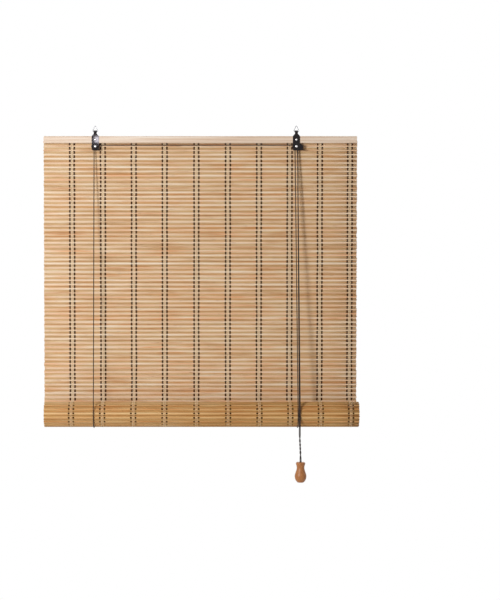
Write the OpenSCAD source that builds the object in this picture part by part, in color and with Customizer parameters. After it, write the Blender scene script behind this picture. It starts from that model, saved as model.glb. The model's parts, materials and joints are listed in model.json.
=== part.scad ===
// Bamboo roll-up blind: a slatted mat on a wooden headrail, partly rolled up and raised by two looped cords.
// X runs along the rail, -Y faces the room and Z is up, in millimetres.
// The origin is midway between the two hanging rings, at the height where the wall hooks bear.

/* [Headrail] */
// Distance between the two hanging rings
hook_spacing = 578; // [450:1:700]
// Rail beyond the left ring
left_overhang = 148; // [120:1:200]
// Rail beyond the right ring
right_overhang = 174; // [140:1:220]
// Height of the rail
rail_h = 20; // [16:0.5:30]
// Thickness of the rail
rail_t = 12; // [11.5:0.5:18]
// Bevel along the rail's edges
rail_bevel = 1; // [0.5:0.1:2]

/* [Mat] */
// Rows of the weave that hang below the top of the mat
rows = 66; // [20:1:70]
// Height of a wide slat
slat_w = 5; // [4:0.1:8]
// Thickness of the wide and the thin slats
slat_t = 1.4; // [1:0.1:2.5]
// Width of a round stick
stick_w = 2.2; // [1.6:0.1:3]
// Height of the thin slat between two sticks
thin_w = 1.9; // [1.4:0.1:3]
// Gap between neighbouring picks
pick_gap = 0.195; // [0.1:0.005:0.5]
// Mat edge below the rail's top
mat_inset = 2; // [1:0.5:4]
// Columns of warp threads
columns = 10; // [6:1:10]
// First column from the rail's left end
first_column = 80; // [40:1:85]
// Last column from the rail's right end
last_column = 19; // [14:1:60]
// Sideways drift of the columns right of the third, as the loom left it
column_drift = 5; // [0:0.5:6]
// Distance between the two dark threads of a column
thread_pair = 13.6; // [10:0.1:16]
// Width of a dark thread
thread_w = 3.6; // [2:0.1:4.5]
// Thickness of a dark thread
thread_t = 0.5; // [0.3:0.05:1]
// Distance between the two pale threads of a column
stitch_pair = 5; // [3.5:0.1:6]
// Width of a pale thread
stitch_w = 2; // [1:0.1:3]
// Thickness of a pale thread
stitch_t = 0.4; // [0.2:0.05:0.6]

/* [Roll] */
// Outer radius of the roll
roll_r = 36.5; // [33:0.5:45]
// Thickness of the sheet in the inner turns
core_sheet = 3.6; // [3:0.1:3.8]
// Distance between inner turns
core_step = 4; // [3.9:0.1:4.4]
// Rows that bend under the roll
tail_rows = 3; // [2:1:4]
// Width of the bottom batten
batten_w = 20; // [12:0.5:20]
// Thickness of the bottom batten
batten_t = 10; // [6:0.5:10]

/* [Brackets] */
// Thickness of the steel strap
plate_t = 1.2; // [0.8:0.1:1.5]
// Width of the strap on the rail
plate_w = 20.5; // [18:0.5:26]
// Width of the neck above the rail
neck_w = 8.4; // [6:0.2:10]
// Height from the rail's top to the rolled eye
neck_h = 14; // [12:0.5:20]
// Width of the rolled eye
eye_w = 10.6; // [8:0.2:11]
// Depth of the pulley cage below the rail
cage_h = 20.5; // [19:0.5:28]
// Radius of the lobe round a pulley's rivet
lobe_r = 11.5; // [10.5:0.1:12.5]
// Radius of the dome pressed into the lobe
dome_r = 9.4; // [8.6:0.1:9.6]
// Height of the dome
dome_h = 2.2; // [1.4:0.1:3]
// Reach of the left bracket's prong from its pulley
left_prong = 13.5; // [12:0.5:16]
// Reach of the right bracket's two prongs from its pulley
right_prongs = [21.5, 26.4]; // [20:0.1:28]
// Diameter of the bracket screws
screw_d = 2.8; // [2:0.1:3.5]
// Length of a bracket screw in the rail
screw_len = 9; // [6:0.5:10]
// Diameter of the rivets
rivet_d = 3; // [2.5:0.1:3.5]

/* [Rings] */
// Wire diameter of a ring
wire_d = 1.8; // [1.4:0.1:2.2]
// Height of a ring along the middle of its wire
ring_h = 14.9; // [13:0.1:20]
// Width of a ring along the middle of its wire
ring_w = 14.4; // [13.6:0.1:18]
// Bend radius of a ring's corners
ring_bend = 1.7; // [1.4:0.1:2]

/* [Cords and pulleys] */
// Diameter of the cords
cord_d = 2.6; // [2:0.1:3]
// Radius of a cord on a pulley
turn_r = 3.8; // [3.6:0.1:4.4]
// Outer radius of a pulley
pulley_r = 6; // [5.8:0.1:6.8]
// Length of the pull strands below the roll's middle
pull_drop = 133; // [100:1:300]

/* [Wooden pull] */
// Height of the wooden pull
pull_h = 58; // [45:1:80]
// Largest diameter of the wooden pull
belly_d = 33.6; // [28:0.2:44]
// Diameter at the neck of the wooden pull
pull_neck_d = 20.8; // [18:0.2:27]
// Diameter at the rim of the wooden pull
rim_d = 28; // [24:0.2:32]

/* [Hidden] */
$fn = 48;
seat = 0.3;
play = 0.4;
slip = 0.1;
eye_play = 0.25;
pulley_drop = 3.5;

// Heights
eye_bore = wire_d / 2 + eye_play;
eye_r = eye_bore + plate_t;
eye_z = wire_d / 2 - ring_h;
rail_top = eye_z - neck_h;
rail_bottom = rail_top - rail_h;
screw_z = rail_top - rail_h / 2;
cage_z = rail_bottom - cage_h;
axle_z = rail_bottom - pulley_r - pulley_drop;
leave_z = axle_z - pulley_r - plate_t;
mat_top = rail_top - mat_inset;
period = slat_w + thin_w + 2 * stick_w + 4 * pick_gap;
roll_z = mat_top - rows * period;

// Depths, from the room to the window
plate_y = -eye_r;
rail_y = plate_y + plate_t;
mat_y = rail_y + rail_t;
thread_y = mat_y + slat_t;
stick_y = thread_y + thread_t;
back_y = stick_y + stick_w;
rivet_tail = 0.5;
cheek_y = mat_y - stitch_t - seat - rivet_tail - plate_t;
pulley_w = cheek_y - rail_y - 2 * play;
pulley_y = (cheek_y + rail_y) / 2;
groove_w = cord_d + play;
groove_step = (pulley_w + groove_w) / 3;
roll_y = mat_y - stitch_t - seat - roll_r;
tail_r = thread_y + thread_t / 2 - roll_y;

// Places along the rail
left_x = -hook_spacing / 2;
right_x = hook_spacing / 2;
rail_left = left_x - left_overhang;
rail_len = left_overhang + hook_spacing + right_overhang;
column_pitch = (rail_len - first_column - last_column) / (columns - 1);
column_x = [for (i = [0 : columns - 1])
    rail_left + first_column + i * column_pitch + column_drift * sin(180 * max(0, i - 3) / (columns - 4))];
bay_x = [for (i = [0 : columns - 2]) column_x[i] + column_pitch / 2];
left_loop_x = left_x - turn_r;
loop_shift = 3;
strand_shift = 8.4;
strand_gap = 4.2;
right_loop_x = right_x + loop_shift;
strand_x = [right_x + strand_shift, right_x + strand_shift + strand_gap];
pull_x = (strand_x[0] + strand_x[1]) / 2;
cam_r = 6.4;
cam_x = turn_r + cord_d / 2 + seat + cam_r;
cam_drop = sqrt(max(1, pow(pulley_r + play + cam_r, 2) - pow(cam_x, 2)));
cam_z = axle_z - cam_drop;
cheek_half = 8;
fold_w = 2 * (turn_r - cord_d / 2 - play);

// Layers of the roll's outer turn, as radii
roll_stitch_r = roll_r - stitch_t;
roll_stick_r = roll_stitch_r - slip - stick_w;
roll_thread_r = roll_stick_r - slip - thread_t;
roll_slat_r = roll_thread_r - seat - slat_t;
roll_rows = floor(2 * PI * (roll_thread_r + thread_t / 2) / period);
core_r = roll_slat_r - seat;
batten_corner = norm([batten_w, batten_t]) / 2;
core_sweep = 360 * (core_r - core_sheet - batten_corner - slip) / core_step;

// Cords
front_r = roll_r + seat + cord_d / 2;
back_cord_y = back_y + stitch_t + seat + cord_d / 2;
rear_r = back_cord_y - roll_y;
cord_front_y = roll_y - front_r;
cord_top = mat_top - 0.5;
pull_top = roll_z - pull_drop;
pull_end = pull_top - pull_h;
pull_bore = (strand_gap + cord_d) / 2 + slip;
knot_r = pull_bore + 1.2;
knot_room = 16;

// Staples
staple_wire = 0.9;
staple_span = 10;
cord_staple_span = cord_d + staple_wire + 2 * slip;
staple_depth = 6;
staple_z = mat_top - 0.28 * slat_w;
cord_staple_z = mat_top - 0.74 * slat_w;

wood = [0.86, 0.74, 0.56];
slat_tone = [0.80, 0.64, 0.42];
stick_tone = [0.88, 0.75, 0.50];
thread_tone = [0.20, 0.12, 0.07];
stitch_tone = [0.85, 0.78, 0.60];
cord_tone = [0.28, 0.17, 0.10];
paint = [0.12, 0.09, 0.08];
steel = [0.78, 0.78, 0.78];

// Picks of one row, measured down from the row's top
wide_mid = slat_w / 2;
stick_mid = [slat_w + pick_gap + stick_w / 2, period - pick_gap - stick_w / 2];
thin_mid = slat_w + 2 * pick_gap + stick_w + thin_w / 2;

function unit(v) = v / norm(v);
function smooth(t) = let (s = max(0, min(1, t))) s * s * (3 - 2 * s);

// A bar along X whose section lies in the YZ plane
module along_x(start, length) {
    translate([start, 0, 0])
        rotate([90, 0, 90])
            linear_extrude(length)
                children();
}

// A sheet in the XZ plane that runs from y to y + thickness
module upright_sheet(y, thickness) {
    translate([0, y + thickness, 0])
        rotate([90, 0, 0])
            linear_extrude(thickness)
                children();
}

// A straight round bar along +Y
module pin(x, y, z, diameter, length) {
    translate([x, y, z])
        rotate([-90, 0, 0])
            cylinder(d = diameter, h = length);
}

// Section of a slat with its front at y = 0 and its front edges eased
module slat_section(height, thickness) {
    ease = min(thickness, height) / 4;
    polygon([[ease, height / 2], [thickness, height / 2], [thickness, -height / 2],
        [ease, -height / 2], [0, -height / 2 + ease], [0, height / 2 - ease]]);
}

// Section of an eight-sided stick with its front at y = 0
module stick_section(width) {
    translate([width / 2, 0])
        rotate(22.5)
            circle(d = width / cos(22.5), $fn = 8);
}

// A slat or stick of the mat, at a depth and a height
module pick(y, z) {
    along_x(rail_left, rail_len)
        translate([y, z])
            children();
}

// A slat or stick on the roll's axis, at a radius and an angle below the rear
module rolled_pick(radius, angle) {
    translate([0, roll_y, roll_z])
        rotate([-angle, 0, 0])
            pick(radius, 0)
                children();
}

// An arc of thread round the roll, from the rear downwards
module thread_arc(x, width, radius, thickness, sweep) {
    translate([x - width / 2, roll_y, roll_z])
        rotate([0, 90, 0])
            rotate([0, 0, 90 - sweep])
                rotate_extrude(angle = sweep)
                    translate([radius, 0])
                        square([thickness, width]);
}

// A flat thread that hangs from one height to another
module thread_strip(x, width, y, thickness, top, bottom) {
    translate([x - width / 2, y, bottom])
        cube([width, thickness, top - bottom]);
}

// The two threads of every column
module each_thread(spread) {
    for (middle = column_x, side = [-1, 1])
        let ($x = middle + side * spread / 2)
            children();
}

// Tube along a path that bends in one plane, with the plane's normal given and both ends level
module swept_cord(path, normal) {
    sides = 8;
    last = len(path) - 1;
    heading = [for (i = [0 : last])
        i == 0 || i == last ? [0, 0, sign(path[min(i + 1, last)].z - path[max(i - 1, 0)].z)]
        : unit(path[i + 1] - path[i - 1])];
    rim = [for (i = [0 : last], j = [0 : sides - 1])
        let (angle = 360 * j / sides, out = unit(cross(heading[i], normal)))
        path[i] + cord_d / 2 * (cos(angle) * normal + sin(angle) * out)];
    walls = [for (i = [0 : last - 1], j = [0 : sides - 1])
        let (next = (j + 1) % sides)
        [i * sides + j, i * sides + next, (i + 1) * sides + next, (i + 1) * sides + j]];
    polyhedron(rim, concat(walls, [[for (j = [sides - 1 : -1 : 0]) j],
        [for (j = [0 : sides - 1]) last * sides + j]]));
}

// Straight cord between two heights, with level ends
module straight_cord(top, bottom) {
    sides = 8;
    rim = [for (point = [top, bottom], j = [0 : sides - 1])
        let (angle = 360 * j / sides)
        point + cord_d / 2 * [cos(angle), sin(angle), 0]];
    walls = [for (j = [0 : sides - 1])
        let (next = (j + 1) % sides)
        [j, next, next + sides, j + sides]];
    polyhedron(rim, concat(walls, [[for (j = [sides - 1 : -1 : 0]) j],
        [for (j = [0 : sides - 1]) sides + j]]));
}

// Rounded head on an axle, towards the room
module rivet_head(x, y, z, diameter, height) {
    translate([x, y, z])
        rotate([90, 0, 0])
            rotate_extrude()
                polygon(concat([[0, 0], [diameter / 2, 0]],
                    [for (a = [15 : 15 : 75]) [diameter / 2 * cos(a), height * sin(a)]], [[0, height]]));
}

// Closed round wire through points of the XZ plane
module wire_loop(path, diameter) {
    sides = 12;
    count = len(path);
    rim = [for (i = [0 : count - 1], j = [0 : sides - 1])
        let (heading = unit(path[(i + 1) % count] - path[(i + count - 1) % count]),
            out = [heading.y, -heading.x],
            angle = 360 * j / sides,
            point = path[i] + diameter / 2 * cos(angle) * out)
        [point.x, diameter / 2 * sin(angle), point.y]];
    walls = [for (i = [0 : count - 1], j = [0 : sides - 1])
        let (next = (j + 1) % sides, after = (i + 1) % count)
        [i * sides + j, i * sides + next, after * sides + next, after * sides + j]];
    polyhedron(rim, walls);
}

// Pulley with its cord grooves at the given depths
module pulley(x, grooves) {
    hub = turn_r - cord_d / 2 - slip;
    translate([x, pulley_y, axle_z])
        rotate([90, 0, 0])
            rotate_extrude()
                difference() {
                    translate([rivet_d / 2 + slip, -pulley_w / 2])
                        square([pulley_r - rivet_d / 2 - slip, pulley_w]);
                    for (g = grooves)
                        translate([hub, g - groove_w / 2])
                            square([pulley_r, groove_w]);
                }
}

// Strap outline above and on the rail, with a lobe round the pulley's rivet
module strap_outline() {
    half = plate_w / 2;
    corner = 2;
    polygon([[-eye_w / 2, eye_z], [-neck_w / 2, eye_z - neck_h / 3], [-neck_w / 2, eye_z - neck_h / 2],
        [-half, rail_top], [-half, cage_z + corner], [corner - half, cage_z], [half, cage_z], [half, rail_top],
        [neck_w / 2, eye_z - neck_h / 2], [neck_w / 2, eye_z - neck_h / 3], [eye_w / 2, eye_z]]);
    translate([0, axle_z])
        circle(r = lobe_r);
}

// Pointed prong beside the cage, from the rivet to a blunt tip
module prong_outline(above, tip, blunt, below) {
    polygon([[0, axle_z], above, tip, tip + blunt, below]);
}

// Dome pressed out of the front plate, round the pulley's rivet
module dome() {
    slope = 2.4;
    translate([0, plate_y + plate_t, axle_z])
        rotate([90, 0, 0])
            rotate_extrude()
                polygon([[dome_r - slope, 0], [dome_r, 0], [dome_r, plate_t], [dome_r - slope, plate_t + dome_h],
                    [rivet_d / 2, plate_t + dome_h], [rivet_d / 2, dome_h],
                    [dome_r - slope - plate_t / 2, dome_h]]);
}

// Cheek behind the pulley
module cheek_outline(reach) {
    top = rail_bottom - 2;
    cut = 3;
    polygon([[-cheek_half, top], [reach - cut, top], [reach, top - cut], [reach, cage_z + cut],
        [reach - cut, cage_z], [-cheek_half, cage_z]]);
}

// Bracket folded from one strap: rolled eye, front plate, bottom fold and rear cheek
// The prongs are its children, and the extra holes are for the cord lock's rivet
module bracket(x, reach, extra_holes) {
    translate([x, 0, 0]) {
        upright_sheet(plate_y, plate_t)
            difference() {
                union() {
                    strap_outline();
                    children();
                }
                translate([0, screw_z])
                    circle(d = screw_d + 2 * slip);
                translate([0, axle_z])
                    circle(r = dome_r - 1);
                for (hole = extra_holes)
                    translate(hole)
                        circle(d = rivet_d);
            }
        dome();
        upright_sheet(cheek_y, plate_t)
            difference() {
                cheek_outline(reach);
                for (hole = concat([[0, axle_z]], extra_holes))
                    translate(hole)
                        circle(d = rivet_d);
            }
        translate([-fold_w / 2, rail_y, cage_z])
            cube([fold_w, cheek_y - rail_y, plate_t]);
        translate([-eye_w / 2, 0, eye_z])
            rotate([0, 90, 0])
                rotate([0, 0, -90])
                    rotate_extrude(angle = 290)
                        translate([eye_bore, 0])
                            square([plate_t, eye_w]);
    }
}

// Staple whose crown lies along X and whose legs go into the rail
module staple(x, z, span, crown_y) {
    side = staple_wire / 2;
    translate([x - span / 2 - side, crown_y, z - side])
        cube([span + staple_wire, staple_wire, staple_wire]);
    for (leg = [-1, 1])
        translate([x + leg * span / 2 - side, mat_y - staple_depth, z - side])
            cube([staple_wire, crown_y - mat_y + staple_depth, staple_wire]);
}

// Room for a staple's two legs
module staple_holes(x, z, span) {
    wide = staple_wire + 2 * slip;
    for (leg = [-1, 1])
        translate([x + leg * span / 2 - wide / 2, mat_y - staple_depth - slip, z - wide / 2])
            cube([wide, staple_depth + slat_t + 2, wide]);
}

module all_staple_holes() {
    for (x = bay_x)
        staple_holes(x, staple_z, staple_span);
    for (x = [left_loop_x, right_loop_x])
        staple_holes(x, cord_staple_z, cord_staple_span);
}

module headrail() {
    color(wood)
        difference() {
            along_x(rail_left, rail_len)
                translate([rail_y, rail_bottom])
                    polygon([[rail_bevel, 0], [rail_t - rail_bevel, 0], [rail_t, rail_bevel],
                        [rail_t, rail_h - rail_bevel], [rail_t - rail_bevel, rail_h], [rail_bevel, rail_h],
                        [0, rail_h - rail_bevel], [0, rail_bevel]]);
            for (x = [left_x, right_x])
                pin(x, rail_y - 1, screw_z, screw_d + 2 * slip, screw_len + 2);
            all_staple_holes();
        }
}

module left_bracket() {
    color(paint)
        bracket(left_x, cheek_half, [])
            prong_outline(lobe_r * [cos(40), -sin(40)] + [0, axle_z], [left_prong, cage_z + 0.6], [-0.6, -0.6],
                [0, cage_z]);
}

module right_bracket() {
    notch = [cam_x + 3.2, cam_z - 2];
    color(paint)
        bracket(right_x, cam_x + 5, [[cam_x, cam_z]]) {
            prong_outline(lobe_r * [cos(45), sin(45)] + [0, axle_z], [right_prongs[0], axle_z + 2.2], [-0.5, -1],
                notch);
            prong_outline(notch, [right_prongs[1], cage_z + 0.8], [-1, -0.8], [0, cage_z]);
        }
}

// Triangular ring: a straight base in the bracket's eye and a bend at the top where the hook bears
module ring(x) {
    reach = ring_w / 2 - ring_bend;
    lean = atan2(reach, ring_h - 2 * ring_bend);
    function bend(middle, from, to) = [for (i = [0 : 4])
        let (a = from + (to - from) * i / 4)
        middle + ring_bend * [cos(a), sin(a)]];
    color(steel)
        translate([x, 0, 0])
            wire_loop(concat(bend([reach, eye_z + ring_bend], -90, lean),
                bend([0, eye_z + ring_h - ring_bend], lean, 180 - lean),
                bend([-reach, eye_z + ring_bend], 180 - lean, 270)), wire_d);
}

module left_ring() {
    ring(left_x);
}

module right_ring() {
    ring(right_x);
}

module bracket_screws() {
    color(steel)
        for (x = [left_x, right_x]) {
            rivet_head(x, plate_y, screw_z, screw_d * 2.1, 1.6);
            pin(x, plate_y, screw_z, screw_d, plate_t + screw_len);
        }
}

module axle(x, z, head, lift) {
    color(steel) {
        rivet_head(x, plate_y - lift, z, head, 1.4);
        pin(x, plate_y - lift, z, rivet_d, cheek_y + plate_t - plate_y + lift);
        pin(x, cheek_y + plate_t, z, rivet_d + 2, rivet_tail);
    }
}

module left_axle() {
    axle(left_x, axle_z, rivet_d * 2.2, dome_h);
}

module right_axle() {
    axle(right_x, axle_z, rivet_d * 2.2, dome_h);
}

module cam_axle() {
    axle(right_x + cam_x, cam_z, rivet_d * 1.5, 0);
}

module left_pulley() {
    color(steel)
        pulley(left_x, [0]);
}

module right_pulley() {
    color(steel)
        pulley(right_x, [-groove_step / 2, groove_step / 2]);
}

// Toothed cam: its radius grows downwards, so a cord that runs back up pulls it tight
// A ridged finger on its other side shows between the bracket's prongs
module lock_cam() {
    teeth = 7;
    notch = 0.8;
    growth = 0.06;
    boss_r = 3.2;
    finger = 8.6;
    ridge = 0.7;
    color(paint)
        translate([right_x + cam_x, pulley_y + pulley_w / 2, cam_z])
            rotate([90, 0, 0])
                linear_extrude(pulley_w)
                    difference() {
                        polygon(concat(
                            [for (i = [0 : 2 * teeth])
                                let (a = 165 + 5 * i, r = cam_r + (i - 3) * growth - (i % 2) * notch)
                                r * [cos(a), sin(a)]],
                            [for (a = [250 : 20 : 310]) boss_r * [cos(a), sin(a)]],
                            [for (i = [0 : 6]) [finger + (i % 2) * ridge, -1.5 + 0.6 * i]],
                            [for (a = [50 : 20 : 130]) boss_r * [cos(a), sin(a)]]));
                        circle(d = rivet_d + 2 * slip);
                    }
}

module mat_staples() {
    color(steel)
        for (x = bay_x)
            staple(x, staple_z, staple_span, thread_y);
}

module cord_staples() {
    color(steel)
        for (x = [left_loop_x, right_loop_x])
            staple(x, cord_staple_z, cord_staple_span, back_cord_y + cord_d / 2);
}

module wide_slats() {
    color(slat_tone)
        for (row = [0 : rows - 1])
            difference() {
                pick(mat_y, mat_top - row * period - wide_mid)
                    slat_section(slat_w, slat_t);
                if (row == 0)
                    all_staple_holes();
            }
}

module thin_slats() {
    color(slat_tone)
        for (row = [0 : rows - 1])
            pick(mat_y, mat_top - row * period - thin_mid)
                slat_section(thin_w, slat_t);
}

module round_sticks() {
    color(stick_tone)
        for (row = [0 : rows - 1], middle = stick_mid)
            pick(stick_y, mat_top - row * period - middle)
                stick_section(stick_w);
}

module dark_threads() {
    color(thread_tone)
        each_thread(thread_pair)
            thread_strip($x, thread_w, thread_y, thread_t, mat_top, roll_z);
}

module front_stitching() {
    color(stitch_tone)
        each_thread(stitch_pair)
            thread_strip($x, stitch_w, mat_y - stitch_t, stitch_t, rail_bottom, roll_z);
}

module back_stitching() {
    color(stitch_tone)
        each_thread(stitch_pair)
            thread_strip($x, stitch_w, back_y, stitch_t, mat_top, roll_z);
}

function tail_angle(along) = along / tail_r * 180 / PI;
tail_sweep = tail_angle(tail_rows * period);
tail_slat_r = tail_r - thread_t / 2 - slip - slat_t;
tail_stick_r = tail_r + thread_t / 2 + slip;

module tail_wide_slats() {
    color(slat_tone)
        for (row = [0 : tail_rows - 1])
            rolled_pick(tail_slat_r, tail_angle(row * period + wide_mid))
                slat_section(slat_w, slat_t);
}

module tail_thin_slats() {
    color(slat_tone)
        for (row = [0 : tail_rows - 1])
            rolled_pick(tail_slat_r, tail_angle(row * period + thin_mid))
                slat_section(thin_w, slat_t);
}

module tail_round_sticks() {
    color(stick_tone)
        for (row = [0 : tail_rows - 1], middle = stick_mid)
            rolled_pick(tail_stick_r, tail_angle(row * period + middle))
                stick_section(stick_w);
}

module tail_dark_threads() {
    color(thread_tone)
        each_thread(thread_pair)
            thread_arc($x, thread_w, tail_r - thread_t / 2, thread_t, tail_sweep);
}

module tail_stitching() {
    color(stitch_tone)
        each_thread(stitch_pair)
            thread_arc($x, stitch_w, tail_stick_r + stick_w + slip, stitch_t, tail_sweep);
}

// Inner turns: one sheet on a spiral that ends at the bottom batten
module roll_turns() {
    steps = ceil(core_sweep / 10);
    turn = [for (i = [0 : steps]) core_sweep * i / steps];
    function spiral(a, depth) = (core_r - core_step * a / 360 - depth) * [cos(a), -sin(a)];
    color(stick_tone)
        along_x(rail_left, rail_len)
            translate([roll_y, roll_z])
                polygon(concat([for (a = turn) spiral(a, 0)],
                    [for (i = [len(turn) - 1 : -1 : 0]) spiral(turn[i], core_sheet)]));
}

module roll_wide_slats() {
    color(slat_tone)
        for (row = [0 : roll_rows - 1])
            rolled_pick(roll_slat_r, row * 360 / roll_rows)
                slat_section(slat_w, slat_t);
}

module roll_thin_slats() {
    color(slat_tone)
        for (row = [0 : roll_rows - 1])
            rolled_pick(roll_slat_r, (row + (thin_mid - wide_mid) / period) * 360 / roll_rows)
                slat_section(thin_w, slat_t);
}

module roll_round_sticks() {
    color(stick_tone)
        for (row = [0 : roll_rows - 1], middle = stick_mid)
            rolled_pick(roll_stick_r, (row + (middle - wide_mid) / period) * 360 / roll_rows)
                stick_section(stick_w);
}

module roll_dark_threads() {
    color(thread_tone)
        each_thread(thread_pair)
            thread_arc($x, thread_w, roll_thread_r, thread_t, 360);
}

module roll_stitching() {
    color(stitch_tone)
        each_thread(stitch_pair)
            thread_arc($x, stitch_w, roll_stitch_r, stitch_t, 360);
}

// Batten in the core, with one corner under the end of the spiral
module bottom_batten() {
    color(wood)
        along_x(rail_left, rail_len)
            translate([roll_y, roll_z])
                rotate(-core_sweep - atan2(batten_w, batten_t))
                    translate([-batten_t / 2, 0])
                        slat_section(batten_w, batten_t);
}

// Loop of a lift cord: on the roll from its front to below, then straight to the tail, then up the mat's back
function loop_radius(a, leave, meet) = a < leave ? rear_r : a < meet ? front_r / cos(meet - a) : front_r;

module cord_loop(x) {
    leave = tail_sweep + 3;
    meet = leave + acos(front_r / rear_r);
    path = [for (i = [24 : -1 : 0])
        let (a = 7.5 * i, r = loop_radius(a, leave, meet))
        [x, roll_y + r * cos(a), roll_z - r * sin(a)]];
    color(cord_tone)
        swept_cord(path, [1, 0, 0]);
}

// Quarter or half turn over a pulley
function over_pulley(x, y, from, to) = [for (i = [0 : 4])
    let (a = from + (to - from) * i / 4)
    [x + turn_r * cos(a), y, axle_z + turn_r * sin(a)]];

module left_cord_back() {
    color(cord_tone)
        straight_cord([left_loop_x, back_cord_y, cord_top], [left_loop_x, back_cord_y, roll_z]);
}

module left_cord_loop() {
    cord_loop(left_loop_x);
}

module left_cord_front() {
    color(cord_tone)
        straight_cord([left_x - turn_r, pulley_y, leave_z], [left_loop_x, cord_front_y, roll_z]);
}

module cross_cord() {
    far_y = pulley_y + groove_step / 2;
    color(cord_tone)
        swept_cord(concat([[left_x - turn_r, pulley_y, leave_z]], over_pulley(left_x, pulley_y, 180, 90),
            over_pulley(right_x, far_y, 90, 0), [[right_x + turn_r, far_y, leave_z]]), [0, 1, 0]);
}

module right_cord_back() {
    color(cord_tone)
        straight_cord([right_loop_x, back_cord_y, cord_top], [right_loop_x, back_cord_y, roll_z]);
}

module right_cord_loop() {
    cord_loop(right_loop_x);
}

module right_cord_front() {
    color(cord_tone)
        straight_cord([right_x - turn_r, pulley_y - groove_step / 2, leave_z],
            [right_loop_x, cord_front_y, roll_z]);
}

module right_cord_turn() {
    near_y = pulley_y - groove_step / 2;
    quarter = over_pulley(right_x, near_y, 180, 90);
    half = over_pulley(right_x, near_y, 90, 0);
    color(cord_tone)
        swept_cord(concat([[right_x - turn_r, near_y, leave_z]], quarter, [for (i = [1 : 4]) half[i]],
            [[right_x + turn_r, near_y, leave_z]]), [0, 1, 0]);
}

module pull_cord_upper() {
    color(cord_tone)
        for (i = [0, 1])
            straight_cord([right_x + turn_r, pulley_y + (i - 0.5) * groove_step, leave_z],
                [strand_x[i], cord_front_y, roll_z]);
}

module pull_cord_lower() {
    color(cord_tone)
        for (x = strand_x)
            straight_cord([x, cord_front_y, roll_z], [x, cord_front_y, pull_end + knot_room]);
}

// Radius of the turned pull at a share of its height, from the rim down
function pull_radius(t) =
    t < 0.06 ? rim_d / 2 - 2 * pow(1 - t / 0.06, 2)
    : t < 0.24 ? rim_d / 2 + (pull_neck_d - rim_d) / 2 * smooth((t - 0.06) / 0.18)
    : t < 0.68 ? pull_neck_d / 2 + (belly_d - pull_neck_d) / 2 * smooth((t - 0.24) / 0.44)
    : belly_d / 2 * sqrt(1 - 0.68 * pow((t - 0.68) / 0.32, 2));

module pull_knob() {
    color([0.72, 0.42, 0.20])
        translate([pull_x, cord_front_y, pull_end])
            difference() {
                rotate_extrude()
                    polygon(concat([[0, 0]], [for (i = [24 : -1 : 0]) [pull_radius(i / 24), pull_h * (1 - i / 24)]],
                        [[0, pull_h]]));
                translate([0, 0, -1])
                    cylinder(r = pull_bore, h = pull_h + 2);
                translate([0, 0, -1])
                    cylinder(r = knot_r + seat, h = knot_room + 1);
            }
}

module cord_knot() {
    color(cord_tone)
        translate([pull_x, cord_front_y, pull_end + knot_room - knot_r])
            difference() {
                sphere(r = knot_r);
                translate([-knot_r, -knot_r, knot_r - seat - 0.6])
                    cube(2 * knot_r);
            }
}

headrail();
left_bracket();
right_bracket();
left_ring();
right_ring();
bracket_screws();
left_axle();
right_axle();
cam_axle();
left_pulley();
right_pulley();
lock_cam();
mat_staples();
cord_staples();
wide_slats();
thin_slats();
round_sticks();
dark_threads();
front_stitching();
back_stitching();
tail_wide_slats();
tail_thin_slats();
tail_round_sticks();
tail_dark_threads();
tail_stitching();
roll_turns();
roll_wide_slats();
roll_thin_slats();
roll_round_sticks();
roll_dark_threads();
roll_stitching();
bottom_batten();
left_cord_back();
left_cord_loop();
left_cord_front();
cross_cord();
right_cord_back();
right_cord_loop();
right_cord_front();
right_cord_turn();
pull_cord_upper();
pull_cord_lower();
pull_knob();
cord_knot();
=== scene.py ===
import json
import math
import random

import bmesh
import bpy
from mathutils import Matrix, Vector
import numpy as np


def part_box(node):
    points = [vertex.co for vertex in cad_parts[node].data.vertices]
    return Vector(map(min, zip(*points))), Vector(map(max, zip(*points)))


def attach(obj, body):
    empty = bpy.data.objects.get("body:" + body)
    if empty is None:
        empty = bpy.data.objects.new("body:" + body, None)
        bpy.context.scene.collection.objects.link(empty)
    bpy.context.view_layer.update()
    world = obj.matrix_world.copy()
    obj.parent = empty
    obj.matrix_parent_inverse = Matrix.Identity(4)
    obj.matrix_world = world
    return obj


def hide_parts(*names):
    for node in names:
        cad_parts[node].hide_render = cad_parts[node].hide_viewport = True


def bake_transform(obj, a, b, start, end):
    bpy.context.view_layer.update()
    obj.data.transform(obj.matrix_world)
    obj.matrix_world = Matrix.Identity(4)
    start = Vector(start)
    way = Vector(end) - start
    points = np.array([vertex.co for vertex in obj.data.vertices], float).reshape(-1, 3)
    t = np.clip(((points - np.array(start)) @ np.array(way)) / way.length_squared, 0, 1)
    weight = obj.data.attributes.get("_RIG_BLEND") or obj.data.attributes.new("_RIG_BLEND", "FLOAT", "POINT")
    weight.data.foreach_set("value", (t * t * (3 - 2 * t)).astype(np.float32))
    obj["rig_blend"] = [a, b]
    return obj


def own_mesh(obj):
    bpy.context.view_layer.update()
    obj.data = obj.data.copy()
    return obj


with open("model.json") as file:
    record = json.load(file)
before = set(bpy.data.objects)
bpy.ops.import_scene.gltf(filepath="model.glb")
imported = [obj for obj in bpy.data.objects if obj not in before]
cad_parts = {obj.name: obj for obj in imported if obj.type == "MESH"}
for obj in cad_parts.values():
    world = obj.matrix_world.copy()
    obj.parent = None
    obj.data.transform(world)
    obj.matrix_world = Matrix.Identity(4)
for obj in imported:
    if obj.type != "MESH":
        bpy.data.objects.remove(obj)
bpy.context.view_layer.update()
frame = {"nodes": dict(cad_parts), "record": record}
mm = 0.001
print("frame:", len(frame["nodes"]), "nodes")


def nodeBox(node):
    low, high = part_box(node)
    return Vector(low), Vector(high)


def nodeCentre(node):
    low, high = nodeBox(node)
    return (low + high) / 2


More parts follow.
